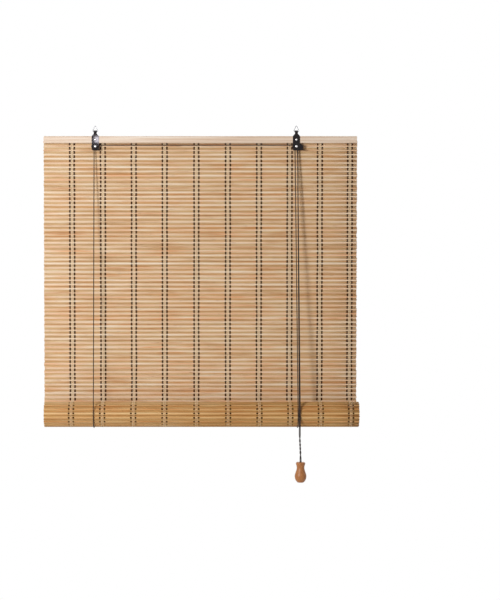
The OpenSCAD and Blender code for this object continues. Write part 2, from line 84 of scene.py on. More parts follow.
# camera: the photograph's frame is 500 x 600, and the lens is measured on its long side
photoCamera = {"place": (0.012, -5.2, -0.233), "tiltDown": 2.3, "lens": 108.3, "sensor": 36,
               "shift": (0.0833, -0.0333)}

cameraData = bpy.data.cameras.new("photoCamera")
cameraData.lens = photoCamera["lens"]
cameraData.sensor_width = photoCamera["sensor"]
cameraData.shift_x, cameraData.shift_y = photoCamera["shift"]
camera = bpy.data.objects.new("photoCamera", cameraData)
camera.location = photoCamera["place"]
camera.rotation_euler = (math.radians(90 - photoCamera["tiltDown"]), 0, 0)
bpy.context.collection.objects.link(camera)
bpy.context.scene.camera = camera
bpy.context.scene.view_settings.view_transform = "Standard"


# node building
def addNode(tree, kind, inputs=None, **settings):
    node = tree.nodes.new(kind)
    for name, value in settings.items():
        setattr(node, name, value)
    for name, value in (inputs or {}).items():
        if isinstance(value, bpy.types.NodeSocket):
            tree.links.new(value, node.inputs[name])
        else:
            node.inputs[name].default_value = value
    return node


def stretchedNoise(tree, vector, scale, detail, roughness, distortion=0.0):
    mapped = addNode(tree, "ShaderNodeMapping", {"Vector": vector, "Scale": scale})
    noise = addNode(tree, "ShaderNodeTexNoise", {
        "Vector": mapped.outputs["Vector"], "Scale": 1.0, "Detail": detail,
        "Roughness": roughness, "Distortion": distortion})
    return noise.outputs["Fac"]


def remap(tree, value, low, high, toLow=0.0, toHigh=1.0):
    node = addNode(tree, "ShaderNodeMapRange", {
        "Value": value, "From Min": low, "From Max": high, "To Min": toLow, "To Max": toHigh})
    return node.outputs["Result"]


def math2(tree, operation, a, b):
    return addNode(tree, "ShaderNodeMath", {0: a, 1: b}, operation=operation).outputs["Value"]


def sine(tree, value):
    return addNode(tree, "ShaderNodeMath", {0: value}, operation="SINE").outputs["Value"]


def mixColour(tree, factor, a, b, blend="MIX"):
    # inputs 6 and 7 and output 2 are the node's colours
    node = addNode(tree, "ShaderNodeMix", {"Factor": factor, 6: a, 7: b}, data_type="RGBA", blend_type=blend)
    return node.outputs[2]


def colourRamp(tree, factor, stops):
    node = addNode(tree, "ShaderNodeValToRGB", {"Fac": factor})
    elements = node.color_ramp.elements
    while len(elements) < len(stops):
        elements.new(0.5)
    for element, (place, colour) in zip(elements, stops):
        element.position = place
        element.color = colour
    return node.outputs["Color"]


def tint(red, green, blue):
    def channel(value):
        share = value / 255
        return share / 12.92 if share <= 0.04045 else ((share + 0.055) / 1.055) ** 2.4
    return (channel(red), channel(green), channel(blue), 1.0)


# shared effects, each with its fibres or grain along X
# noises: repeats along each axis, detail, roughness and distortion
groupNoises = {
    "bambooFibre": {"Streak": ((9, 1400, 1400), 4, 0.6), "Mottle": ((6, 90, 90), 3, 0.6),
                    "Patch": ((11, 130, 130), 2, 0.5), "Mark": ((34, 260, 260), 2, 0.5, 0.3)},
    "woodGrain": {"Grain": ((3, 260, 260), 5, 0.6, 0.7), "Pore": ((40, 2600, 2600), 2, 0.5)},
    "yarnPly": {"Fuzz": ((2200, 2200, 900), 3, 0.7)},
    "cordPlait": {"Fleck": ((7, 2.3, 1), 2, 0.6)},
    "metalMarks": {"Scratch": ((2500, 2500, 260), 2, 0.6), "Cloud": ((180, 180, 180), 4, 0.6)}}


def newGroup(name, numbers=(), shapes=()):
    # takes a place and some numbers, and gives its noises, and shapes that are linked later
    tree = bpy.data.node_groups.new(name, "ShaderNodeTree")
    tree.interface.new_socket("Vector", in_out="INPUT", socket_type="NodeSocketVector")
    for label in numbers:
        tree.interface.new_socket(label, in_out="INPUT", socket_type="NodeSocketFloat")
    for label in (*shapes, *groupNoises[name]):
        tree.interface.new_socket(label, in_out="OUTPUT", socket_type="NodeSocketFloat")
    start = tree.nodes.new("NodeGroupInput")
    end = tree.nodes.new("NodeGroupOutput")
    for label, settings in groupNoises[name].items():
        tree.links.new(stretchedNoise(tree, start.outputs["Vector"], *settings), end.inputs[label])
    return tree, start, end


fibreTree = newGroup("bambooFibre")[0]
woodTree = newGroup("woodGrain")[0]
metalTree = newGroup("metalMarks")[0]

yarnTree, yarnIn, yarnOut = newGroup("yarnPly", ("Plies",), ("Ply",))
yarnSplit = addNode(yarnTree, "ShaderNodeSeparateXYZ", {"Vector": yarnIn.outputs["Vector"]})
plyTurn = math2(yarnTree, "MULTIPLY", yarnSplit.outputs["X"], yarnIn.outputs["Plies"])
yarnTree.links.new(remap(yarnTree, sine(yarnTree, plyTurn), -1, 1), yarnOut.inputs["Ply"])

plaitShape = {"strands": 4, "lowest": -0.6}
plaitTree, plaitIn, plaitOut = newGroup("cordPlait", (), ("Strand",))
plaitSplit = addNode(plaitTree, "ShaderNodeSeparateXYZ", {"Vector": plaitIn.outputs["Vector"]})
plaitRound = math2(plaitTree, "MULTIPLY", plaitSplit.outputs["X"], plaitShape["strands"] * math.tau)
plaitAlong = math2(plaitTree, "MULTIPLY", plaitSplit.outputs["Y"], math.tau)
plaitWaves = [sine(plaitTree, math2(plaitTree, side, plaitRound, plaitAlong)) for side in ("ADD", "SUBTRACT")]
plaitHeight = math2(plaitTree, "MAXIMUM", *plaitWaves)
plaitTree.links.new(remap(plaitTree, plaitHeight, plaitShape["lowest"], 1), plaitOut.inputs["Strand"])


def placeGroup(tree, group, vector, **values):
    return addNode(tree, "ShaderNodeGroup", {"Vector": vector, **values}, node_tree=group).outputs


def newMaterial(name, **settings):
    material = bpy.data.materials.new(name)
    material.use_nodes = True
    tree = material.node_tree
    shader = tree.nodes["Principled BSDF"]
    for label, value in settings.items():
        shader.inputs[label].default_value = value
    place = addNode(tree, "ShaderNodeTexCoord").outputs["Object"]
    return material, tree, shader, place


def addBump(tree, shader, height, strength, distance):
    bump = addNode(tree, "ShaderNodeBump", {"Height": height, "Strength": strength, "Distance": distance})
    tree.links.new(bump.outputs["Normal"], shader.inputs["Normal"])


# what each slat and stick carries: its own tone and blush, painted shade in the creases beside it, and its
# inner face
barLooks = ("tone", "blush", "creaseShade", "inside")

# what all finishes of a kind share: the part of each noise that counts, bump strength and depth
bambooBase = {"gloss": 0.35, "mottle": (0.3, 0.7, -0.45, 0.45), "patch": (0.32, 0.68), "streak": (0.3, 0.75),
              "mark": (0.63, 0.77), "rough": (0.2, 0.8), "bump": (0.35, 0.3 * mm)}
woodBase = {"coatRoughness": 0.2, "pore": (0.55, 0.75), "rough": (0.2, 0.8), "bump": (0.25, 0.2 * mm)}
yarnBase = {"grooveShade": (0.0, 0.5), "rough": (0.2, 0.8, 0.75, 0.95), "bump": (0.6, 0.3 * mm)}
cordBase = {"sheen": 0.2, "gloss": 0.3, "unmapped": (120, 120, 300), "gap": (0.1, 0.6),
            "rough": (0, 1, 0.9, 0.6), "bump": (0.8, 0.4 * mm)}
metalBase = {"coatRoughness": 0.12, "cloud": (0.3, 0.7), "scratch": (0.4, 0.7), "bumpDeep": 0.2 * mm}


def bambooMaterial(name, look):
    material, tree, shader, place = newMaterial(name, **{"Specular IOR Level": bambooBase["gloss"]})
    fibre = placeGroup(tree, fibreTree, place)
    tone, blush, creaseShade, inside = [
        addNode(tree, "ShaderNodeAttribute", attribute_name=label).outputs["Fac"] for label in barLooks]
    shade = math2(tree, "ADD", tone, remap(tree, fibre["Mottle"], *bambooBase["mottle"]))
    colour = colourRamp(tree, shade, look["tones"])
    flush = math2(tree, "MULTIPLY", blush, remap(tree, fibre["Patch"], *bambooBase["patch"]))
    colour = mixColour(tree, flush, colour, look["blushTint"], "MULTIPLY")
    colour = mixColour(tree, inside, colour, look["insideTint"], "MULTIPLY")
    streak = remap(tree, fibre["Streak"], *bambooBase["streak"], look["streak"], 0.0)
    colour = mixColour(tree, streak, colour, look["fibreTint"], "MULTIPLY")
    mark = remap(tree, fibre["Mark"], *bambooBase["mark"], 0.0, look["marks"])
    colour = mixColour(tree, mark, colour, look["markTint"])
    # painted shade: the bar's sides next to its neighbours are darkened towards the crease tint, standing in
    # for the shadow between bars
    colour = mixColour(tree, math2(tree, "MULTIPLY", creaseShade, look["creaseShade"]), colour, look["creaseShadeTint"])
    tree.links.new(colour, shader.inputs["Base Color"])
    rough = remap(tree, fibre["Streak"], *bambooBase["rough"], *look["roughness"])
    tree.links.new(rough, shader.inputs["Roughness"])
    addBump(tree, shader, fibre["Streak"], *bambooBase["bump"])
    return material


def woodMaterial(name, look):
    settings = {"Coat Weight": look["coat"], "Coat Roughness": woodBase["coatRoughness"]}
    material, tree, shader, place = newMaterial(name, **settings)
    turned = addNode(tree, "ShaderNodeMapping", {"Vector": place, "Rotation": look["turn"]})
    wood = placeGroup(tree, woodTree, turned.outputs["Vector"])
    colour = colourRamp(tree, wood["Grain"], look["tones"])
    pores = remap(tree, wood["Pore"], *woodBase["pore"], 0.0, look["pores"])
    colour = mixColour(tree, pores, colour, look["poreTint"], "MULTIPLY")
    tree.links.new(colour, shader.inputs["Base Color"])
    rough = remap(tree, wood["Grain"], *woodBase["rough"], *look["roughness"])
    tree.links.new(rough, shader.inputs["Roughness"])
    addBump(tree, shader, wood["Pore"], *woodBase["bump"])
    return material


def yarnMaterial(name, look):
    settings = {"Sheen Weight": look["sheen"], "Specular IOR Level": look["gloss"]}
    material, tree, shader, place = newMaterial(name, **settings)
    yarn = placeGroup(tree, yarnTree, place, Plies=look["plies"])
    colour = colourRamp(tree, yarn["Fuzz"], look["tones"])
    # painted shade: the grooves between the yarn's plies are darkened towards the groove tint
    grooveShade = remap(tree, yarn["Ply"], *yarnBase["grooveShade"], look["grooveShade"], 0.0)
    colour = mixColour(tree, grooveShade, colour, look["grooveShadeTint"], "MULTIPLY")
    tree.links.new(colour, shader.inputs["Base Color"])
    tree.links.new(remap(tree, yarn["Fuzz"], *yarnBase["rough"]), shader.inputs["Roughness"])
    addBump(tree, shader, yarn["Ply"], *yarnBase["bump"])
    return material


def cordMaterial(name, look, mapped):
    settings = {"Sheen Weight": cordBase["sheen"], "Specular IOR Level": cordBase["gloss"]}
    material, tree, shader, place = newMaterial(name, **settings)
    if mapped:
        place = addNode(tree, "ShaderNodeUVMap", uv_map="plait").outputs["UV"]
    else:
        scaled = addNode(tree, "ShaderNodeMapping", {"Vector": place, "Scale": cordBase["unmapped"]})
        place = scaled.outputs["Vector"]
    plait = placeGroup(tree, plaitTree, place)
    colour = colourRamp(tree, plait["Fleck"], look["tones"])
    # painted shade: the gaps between the plait's strands are darkened towards the gap tint
    gap = remap(tree, plait["Strand"], *cordBase["gap"], look["gap"], 0.0)
    colour = mixColour(tree, gap, colour, look["gapShadeTint"], "MULTIPLY")
    tree.links.new(colour, shader.inputs["Base Color"])
    tree.links.new(remap(tree, plait["Strand"], *cordBase["rough"]), shader.inputs["Roughness"])
    addBump(tree, shader, plait["Strand"], *cordBase["bump"])
    return material


def metalMaterial(name, look):
    settings = {"Metallic": look["metallic"], "Coat Weight": look["coat"],
                "Coat Roughness": metalBase["coatRoughness"], "Specular IOR Level": look["gloss"]}
    material, tree, shader, place = newMaterial(name, **settings)
    marks = placeGroup(tree, metalTree, place)
    tree.links.new(colourRamp(tree, marks["Cloud"], look["tones"]), shader.inputs["Base Color"])
    wear = math2(tree, "ADD", remap(tree, marks["Cloud"], *metalBase["cloud"], *look["roughness"]),
                 remap(tree, marks["Scratch"], *metalBase["scratch"], 0.0, look["wear"]))
    tree.links.new(wear, shader.inputs["Roughness"])
    addBump(tree, shader, marks["Scratch"], look["bump"], metalBase["bumpDeep"])
    return material


cordLook = {"tones": [(0.3, tint(22, 11, 8)), (0.5, tint(38, 22, 16)), (0.7, tint(66, 43, 31))],
            "gap": 0.8, "gapShadeTint": tint(70, 46, 30)}
finishes = {
    "slat_bamboo": bambooMaterial("slatBamboo", {
        "tones": [(0.05, tint(214, 176, 136)), (0.35, tint(235, 206, 174)),
                  (0.7, tint(243, 221, 194)), (1.0, tint(248, 234, 214))],
        "streak": 0.3, "fibreTint": tint(204, 162, 126), "marks": 0.4, "markTint": tint(150, 104, 64),
        "blushTint": tint(250, 212, 182), "insideTint": tint(243, 225, 184),
        "creaseShade": 0.6, "creaseShadeTint": tint(104, 68, 40), "roughness": (0.4, 0.56)}),
    "thin_bamboo": bambooMaterial("thinBamboo", {
        "tones": [(0.05, tint(192, 144, 90)), (0.5, tint(217, 172, 116)), (1.0, tint(233, 197, 146))],
        "streak": 0.3, "fibreTint": tint(190, 144, 92), "marks": 0.3, "markTint": tint(120, 78, 42),
        "blushTint": tint(250, 206, 166), "insideTint": tint(233, 211, 174),
        "creaseShade": 0.7, "creaseShadeTint": tint(96, 60, 32), "roughness": (0.4, 0.55)}),
    "stick_bamboo": bambooMaterial("stickBamboo", {
        "tones": [(0.05, tint(222, 186, 138)), (0.5, tint(241, 214, 170)), (1.0, tint(249, 232, 198))],
        "streak": 0.25, "fibreTint": tint(200, 160, 110), "marks": 0.25, "markTint": tint(120, 78, 42),
        "blushTint": tint(250, 210, 170), "insideTint": tint(229, 207, 165),
        "creaseShade": 0.62, "creaseShadeTint": tint(96, 60, 32), "roughness": (0.36, 0.5)}),
    "rail_wood": woodMaterial("railWood", {
        "tones": [(0.32, tint(206, 176, 148)), (0.5, tint(229, 207, 187)), (0.68, tint(240, 226, 211))],
        "pores": 0.35, "poreTint": tint(206, 170, 136), "coat": 0.05, "roughness": (0.45, 0.6),
        "turn": (0, 0, 0)}),
    "batten_wood": woodMaterial("battenWood", {
        "tones": [(0.25, tint(206, 176, 138)), (0.5, tint(222, 196, 160)), (0.75, tint(234, 212, 180))],
        "pores": 0.4, "poreTint": tint(186, 146, 104), "coat": 0.0, "roughness": (0.55, 0.7),
        "turn": (0, 0, 0)}),
    "pull_wood": woodMaterial("pullWood", {
        "tones": [(0.25, tint(142, 82, 38)), (0.5, tint(176, 113, 60)), (0.75, tint(196, 136, 80))],
        "pores": 0.5, "poreTint": tint(140, 90, 54), "coat": 0.06, "roughness": (0.4, 0.54),
        "turn": (0, math.radians(90), 0)}),
    "dark_thread": yarnMaterial("darkThread", {
        "tones": [(0.3, tint(36, 13, 9)), (0.6, tint(52, 21, 15)), (0.8, tint(74, 37, 26))],
        "plies": math.tau / (0.9 * mm), "sheen": 0.02, "gloss": 0.04, "grooveShade": 0.6,
        "grooveShadeTint": tint(80, 56, 50)}),
    "pale_thread": yarnMaterial("paleThread", {
        "tones": [(0.3, tint(238, 216, 180)), (0.6, tint(246, 230, 200)), (0.8, tint(252, 242, 222))],
        "plies": math.tau / (0.8 * mm), "sheen": 0.25, "gloss": 0.2, "grooveShade": 0.25,
        "grooveShadeTint": tint(190, 158, 120)}),
    "brown_cord": cordMaterial("brownCord", cordLook, mapped=True),
    "bracket_paint": metalMaterial("bracketPaint", {
        "tones": [(0.3, tint(15, 8, 10)), (0.7, tint(26, 16, 18))], "metallic": 0.0, "coat": 0.05,
        "roughness": (0.015, 0.03), "wear": 0.015, "bump": 0.001, "gloss": 0.2}),
    "ring_steel": metalMaterial("ringSteel", {
        "tones": [(0.3, tint(138, 138, 142)), (0.7, tint(172, 172, 176))], "metallic": 1.0, "coat": 0.0,
        "roughness": (0.18, 0.3), "wear": 0.08, "bump": 0.08, "gloss": 0.5}),
    "rivet_steel": metalMaterial("rivetSteel", {
        "tones": [(0.3, tint(212, 208, 206)), (0.7, tint(240, 238, 236))], "metallic": 1.0, "coat": 0.0,
        "roughness": (0.2, 0.32), "wear": 0.08, "bump": 0.08, "gloss": 0.5}),
    "pulley_steel": metalMaterial("pulleySteel", {
        "tones": [(0.3, tint(150, 148, 146)), (0.7, tint(186, 184, 180))], "metallic": 1.0, "coat": 0.0,
        "roughness": (0.3, 0.45), "wear": 0.08, "bump": 0.12, "gloss": 0.5})}
knotFinish = cordMaterial("knotCord", cordLook, mapped=False)

for part in frame["record"]["subparts"]:
    node = frame["nodes"][part["node"]]
    finish = finishes[part["material_slot"]]
    if node.material_slots:
        for materialSlot in node.material_slots:
            materialSlot.material = finish
    else:
        node.data.materials.append(finish)
for materialSlot in frame["nodes"]["cord_knot"].material_slots:
    materialSlot.material = knotFinish
print("finishes:", len(finishes))


# pieces
weldDistance = 1e-6


def makePiece(name, bm, slot, nodes, body=None, smooth=True):
    bmesh.ops.recalc_face_normals(bm, faces=bm.faces[:])
    mesh = bpy.data.meshes.new(name)
    bm.to_mesh(mesh)
    bm.free()
    mesh.materials.append(finishes[slot])
    if smooth:
        mesh.shade_smooth()
    piece = bpy.data.objects.new(name, mesh)
    bpy.context.collection.objects.link(piece)
    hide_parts(*nodes)
    if body:
        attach(piece, body)
    return piece


def shortenWithLift(piece):
    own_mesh(piece)


# cords
def straightRoute(top, bottom, steps=24):
    start, end = Vector(top) * mm, Vector(bottom) * mm
    return [start.lerp(end, i / steps) for i in range(steps + 1)]


def smoothStep(share):
    share = max(0.0, min(1.0, share))
    return share * share * (3 - 2 * share)


# places in millimetres, as in the solids; diameter and plaitPitch in metres, leaveTail in degrees
cordSizes = {
    "diameter": 2.6 * mm, "sides": 12, "plaitPitch": 5.2 * mm, "spanSteps": 24,
    "leftX": -289.0, "rightX": 289.0, "axleZ": -57.5, "turn": 3.8, "leaveZ": -64.7,
    "pulleyY": 3.65, "grooveStep": 3.9333, "backY": 16.95, "topZ": -30.5,
    "leftLoop": -292.8, "rightLoop": 292.4, "strands": (295.6, 298.4), "pullX": 299.5,
    "frontRadius": 38.1, "rearRadius": 43.3, "leaveTail": 56.4, "pullEnd": -1002.3,
    "besideRoll": 42.0, "clearRoll": 50.0, "twistTurns": 2.5, "twistStop": 48.0, "leanStop": 45.0}
rollAxis = nodeCentre("roll_stitching") / mm
frontY = rollAxis.y - cordSizes["frontRadius"]
nearY = cordSizes["pulleyY"] - cordSizes["grooveStep"] / 2
farY = cordSizes["pulleyY"] + cordSizes["grooveStep"] / 2


def overPulley(x, y, fromAngle, toAngle, steps=12):
    points = []
    for i in range(steps + 1):
        angle = math.radians(fromAngle + (toAngle - fromAngle) * i / steps)
        points.append(Vector((x + cordSizes["turn"] * math.cos(angle), y,
                              cordSizes["axleZ"] + cordSizes["turn"] * math.sin(angle))) * mm)
    return points


def underRollRoute(x, steps=48):
    # round the roll's front, then straight to the tail, then round that to the mat's back
    leave = math.radians(cordSizes["leaveTail"])
    meet = leave + math.acos(cordSizes["frontRadius"] / cordSizes["rearRadius"])
    points = []
    for i in range(steps + 1):
        angle = math.pi * (1 - i / steps)
        radius = cordSizes["rearRadius"]
        if angle > leave:
            radius = cordSizes["frontRadius"] / math.cos(max(0.0, meet - angle))
        points.append(Vector((x, rollAxis.y + radius * math.cos(angle),
                              rollAxis.z - radius * math.sin(angle))) * mm)
    return points


def dropTail(point):
    return [Vector((point.x, point.y, cordSizes["leaveZ"] * mm))]


def crossRoute():
    left = overPulley(cordSizes["leftX"], cordSizes["pulleyY"], 180, 90)
    right = overPulley(cordSizes["rightX"], farY, 90, 0)
    steps = cordSizes["spanSteps"]
    span = [left[-1].lerp(right[0], i / steps) for i in range(1, steps)]
    return dropTail(left[0]) + left + span + right + dropTail(right[-1])


def lockRoute():
    turn = overPulley(cordSizes["rightX"], nearY, 180, 0, 24)
    return dropTail(turn[0]) + turn + dropTail(turn[-1])


def hangingStrand(index, steps=40):
    # the two strands wind round each other between the roll and the wooden pull
    centreX = sum(cordSizes["strands"]) / 2
    half = cordSizes["strands"][index] - centreX
    bottom = cordSizes["pullEnd"]
    clearZ = rollAxis.z - cordSizes["clearRoll"]
    points = []
    for i in range(steps + 1):
        z = rollAxis.z + (bottom - rollAxis.z) * i / steps
        twist = smoothStep((clearZ - z) / (clearZ - bottom - cordSizes["twistStop"]))
        lean = smoothStep((clearZ - z) / (clearZ - bottom - cordSizes["leanStop"]))
        angle = twist * cordSizes["twistTurns"] * math.tau
        points.append(Vector((centreX + (cordSizes["pullX"] - centreX) * lean + half * math.cos(angle),
                              frontY - half * math.sin(angle), z)) * mm)
    return points


def tube(route, diameter, sides, pitch=None, closed=False):
    # a grid wrapped round the route; the UV map runs round and along it, one unit per plait
    route = route + route[:1] if closed else route
    last = len(route) - 1
    distance = [0.0]
    for before, after in zip(route, route[1:]):
        distance.append(distance[-1] + (after - before).length)
    headings = []
    for i in range(last + 1):
        before = route[i - 1] if i else (route[-2] if closed else route[0])
        after = route[i + 1] if i < last else (route[1] if closed else route[-1])
        headings.append((after - before).normalized())
    side = headings[0].orthogonal().normalized()
    frames = []
    for before, heading in zip(headings[:1] + headings, headings):
        side = before.rotation_difference(heading) @ side
        frames.append((side.copy(), heading.cross(side)))
    bm = bmesh.new()
    plait = bm.loops.layers.uv.new("plait")
    bmesh.ops.create_grid(bm, x_segments=sides, y_segments=last, size=1)
    for face in bm.faces:
        for loop in face.loops:
            step = round((loop.vert.co.y + 1) / 2 * last)
            loop[plait].uv = ((loop.vert.co.x + 1) / 2, distance[step] / (pitch or diameter))
    for vert in bm.verts:
        step = round((vert.co.y + 1) / 2 * last)
        angle = (vert.co.x + 1) * math.pi
        across, up = frames[step]
        vert.co = route[step] + diameter / 2 * (math.cos(angle) * across + math.sin(angle) * up)
    bmesh.ops.remove_doubles(bm, verts=bm.verts[:], dist=weldDistance)
    bmesh.ops.holes_fill(bm, edges=[edge for edge in bm.edges if edge.is_boundary])
    return bm


def makeCord(name, route, node, body=None):
    bm = tube(route, cordSizes["diameter"], cordSizes["sides"], cordSizes["plaitPitch"])
    return makePiece(name, bm, "brown_cord", [node], body)


def routeLength(route):
    return sum((after - before).length for before, after in zip(route, route[1:]))


leave = cordSizes["leaveZ"]
rollZ = rollAxis.z
frontRuns = {
    "leftCordFront": ("left_cord_front",
                      (cordSizes["leftX"] - cordSizes["turn"], cordSizes["pulleyY"], leave),
                      (cordSizes["leftLoop"], frontY, rollZ)),
    "rightCordFront": ("right_cord_front", (cordSizes["rightX"] - cordSizes["turn"], nearY, leave),
                       (cordSizes["rightLoop"], frontY, rollZ)),
    "pullCordUpperNear": ("pull_cord_upper", (cordSizes["rightX"] + cordSizes["turn"], nearY, leave),
                          (cordSizes["strands"][0], frontY, rollZ)),
    "pullCordUpperFar": ("pull_cord_upper", (cordSizes["rightX"] + cordSizes["turn"], farY, leave),
                         (cordSizes["strands"][1], frontY, rollZ))}
besideZ = rollZ + cordSizes["besideRoll"]
for name, (node, top, bottom) in frontRuns.items():
    # the end beside the roll goes up with it
    meet = Vector(top).lerp(Vector(bottom), (leave - besideZ) / (leave - rollZ))
    for part, body, start, end in ((name, "root", top, meet), (name + "End", "lift", meet, bottom)):
        route = straightRoute(start, end)
        piece = makeCord(part, route, node, body)
        if body == "root":
            shortenWithLift(piece)
        if node == "pull_cord_upper":
            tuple(route[0])
            routeLength(route)
for name, node, x in (("leftCordBack", "left_cord_back", cordSizes["leftLoop"]),
                      ("rightCordBack", "right_cord_back", cordSizes["rightLoop"])):
    route = straightRoute((x, cordSizes["backY"], cordSizes["topZ"]), (x, cordSizes["backY"], rollZ))
    shortenWithLift(makeCord(name, route, node, "root"))
makeCord("leftCordLoop", underRollRoute(cordSizes["leftLoop"]), "left_cord_loop", "lift")
makeCord("rightCordLoop", underRollRoute(cordSizes["rightLoop"]), "right_cord_loop", "lift")
makeCord("crossCord", crossRoute(), "cross_cord", "root")
makeCord("lockCord", lockRoute(), "right_cord_turn", "root")
print("cords laid")


# wooden pull: turned on a lathe, with a bore for the two strands and a pocket for the knot
# profile: share of the height from the top, and radius
turnedPull = {
    "profile": [(0.0, 9.4), (0.006, 11.2), (0.02, 12.5), (0.04, 13.2), (0.07, 13.4), (0.1, 13.0),
                (0.15, 12.1), (0.2, 11.3), (0.25, 10.9), (0.3, 10.9), (0.36, 11.4), (0.44, 12.9),
                (0.52, 14.5), (0.6, 16.0), (0.66, 16.7), (0.7, 16.8), (0.76, 16.5), (0.82, 15.7),
                (0.88, 14.3), (0.93, 12.5), (0.97, 10.6), (1.0, 8.8)],
    "bore": 3.5, "pocket": 5.0, "pocketDeep": 16.0, "steps": 64, "sharp": math.radians(50), "edge": 0.4}


def makeWoodenPull():
    low, high = nodeBox("pull_knob")
    middle = nodeCentre("pull_knob")
    height = high.z - low.z
    outline = [(radius * mm, high.z - share * height) for share, radius in turnedPull["profile"]]
    pocketTop = low.z + turnedPull["pocketDeep"] * mm
    inside = [(turnedPull["pocket"] * mm, low.z), (turnedPull["pocket"] * mm, pocketTop),
              (turnedPull["bore"] * mm, pocketTop), (turnedPull["bore"] * mm, high.z)]
    bm = bmesh.new()
    rim = [bm.verts.new((middle.x + radius, middle.y, z)) for radius, z in outline + inside]
    edges = [bm.edges.new((rim[i], rim[(i + 1) % len(rim)])) for i in range(len(rim))]
    bmesh.ops.spin(bm, geom=rim + edges, cent=middle, axis=(0, 0, 1), angle=math.tau,
                   steps=turnedPull["steps"], use_merge=True)
    bmesh.ops.remove_doubles(bm, verts=bm.verts[:], dist=weldDistance)
    sharp = [edge for edge in bm.edges
             if len(edge.link_faces) == 2 and edge.calc_face_angle(0) > turnedPull["sharp"]]
    bmesh.ops.bevel(bm, geom=sharp, offset=turnedPull["edge"] * mm, segments=2, profile=0.5,
                    affect="EDGES", material=-1)
    return makePiece("woodenPull", bm, "pull_wood", ["pull_knob"], "pull")


woodenPull = makeWoodenPull()
for index, name in enumerate(("pullCordLowerNear", "pullCordLowerFar")):
    route = hangingStrand(index)
    strand = makeCord(name, route, "pull_cord_lower")
    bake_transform(strand, "lift", "pull", start=route[0],
             end=route[-1] + Vector((0, 0, cordSizes["leanStop"] * mm)))
    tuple(route[0])
    routeLength(route)
print("wooden pull turned")


# hanging rings
wireRing = {"wire": 1.8 * mm, "bend": 1.7 * mm, "sides": 16, "bendSteps": 8}


def ringRoute(node):
    low, high = nodeBox(node)
    middle = nodeCentre(node)
    half = wireRing["wire"] / 2
    base, apex = low.z + half, high.z - half
    reach = (high.x - low.x) / 2 - half - wireRing["bend"]
    lean = math.atan2(reach, apex - base - 2 * wireRing["bend"])
    corners = (((middle.x + reach, base + wireRing["bend"]), -math.pi / 2, lean),
               ((middle.x, apex - wireRing["bend"]), lean, math.pi - lean),
               ((middle.x - reach, base + wireRing["bend"]), math.pi - lean, 1.5 * math.pi))
    route = []
    for (x, z), start, end in corners:
        for i in range(wireRing["bendSteps"] + 1):
            angle = start + (end - start) * i / wireRing["bendSteps"]
            route.append(Vector((x + wireRing["bend"] * math.cos(angle), middle.y,
                                 z + wireRing["bend"] * math.sin(angle))))
    return route


for name, node in (("leftRing", "left_ring"), ("rightRing", "right_ring")):
    bm = tube(ringRoute(node), wireRing["wire"], wireRing["sides"], closed=True)
    makePiece(name, bm, "ring_steel", [node], node)
print("rings bent")


# weave: depths run from the front of the wide slats to the back, and lengths down the mat
weave = {
    "rows": 66, "tailRows": 3, "turnRows": 17, "turnDeep": 3.6 * mm, "rollSlip": 3.5 * mm,
    "slat": 5.0 * mm, "slatDeep": 1.4 * mm, "thin": 1.9 * mm, "thinDeep": 1.4 * mm, "thinBack": 0.1 * mm,
    "stick": 2.2 * mm, "stickRound": 2.9 * mm, "stickSides": 8, "stickBack": 0.55 * mm, "gap": 0.195 * mm,
    "edgeShare": 0.26, "endsPast": (0.5 * mm, 2.3 * mm), "sway": 0.07 * mm, "cuts": 11}
# threads: each column has two dark ones, two pairs of pale stitches and a binder
threads = {
    "columns": 10, "firstColumn": 80 * mm, "lastColumn": 19 * mm, "evenColumns": 3, "columnDrift": 5 * mm,
    "darkApart": 13.2 * mm, "darkWide": 4.6 * mm, "darkThick": 0.5 * mm,
    "paleApart": 5.0 * mm, "paleWide": 0.95 * mm, "paleGap": 0.14 * mm, "paleThick": 0.45 * mm,
    "binderWide": 1.1 * mm, "wander": 0.45 * mm}
# chance: waves per metre, tone as least, reach and spread, and the spread of the blush
chance = {"seed": 11, "swayWaves": (0.6, 2.2), "wanderWaves": (2, 9), "tone": (0.15, 0.7, 2.4),
          "blush": (1.2, 1.6)}
matLow, matHigh = nodeBox("wide_slats")
matTop = nodeBox("dark_threads")[1].z
rollCentre = nodeCentre("roll_stitching")
period = (matTop - rollCentre.z) / weave["rows"]
matFront = matLow.y
tailBase = matFront - rollCentre.y
tailRadius = nodeBox("tail_dark_threads")[1].y - rollCentre.y - threads["darkThick"] / 2
rollRadius = nodeBox("roll_stitching")[1].y - rollCentre.y
turnBase = rollRadius - weave["turnDeep"]
dice = random.Random(chance["seed"])


def hanging(x, along, deep):
    return Vector((x, matFront + deep, matTop - along))


def roundRoll(x, angle, radius):
    return Vector((x, rollCentre.y + radius * math.cos(angle), rollCentre.z - radius * math.sin(angle)))


def underRoll(x, along, deep):
    return roundRoll(x, along / tailRadius, tailBase + deep)


def outerTurn(x, along, deep):
    angle = (along - weave["slat"] / 2) / (weave["turnRows"] * period) * math.tau
    return roundRoll(x, angle, turnBase + deep)


stickMiddles = (weave["slat"] + weave["gap"] + weave["stick"] / 2,
                period - weave["gap"] - weave["stick"] / 2)
picks = {
    "wide": {"middles": (weave["slat"] / 2,), "high": weave["slat"], "deep": weave["slatDeep"], "back": 0.0,
             "edge": weave["edgeShare"] * weave["slatDeep"]},
    "thin": {"middles": (sum(stickMiddles) / 2,), "high": weave["thin"], "deep": weave["thinDeep"],
             "back": weave["thinBack"], "edge": weave["edgeShare"] * weave["thinDeep"]},
    "stick": {"middles": stickMiddles, "high": weave["stickRound"], "deep": weave["stickRound"],
              "back": weave["stickBack"], "edge": weave["stickRound"] / 2}}


def lengthways(bm):
    return [edge for edge in bm.edges if abs(edge.verts[0].co.x - edge.verts[1].co.x) > 0.5]


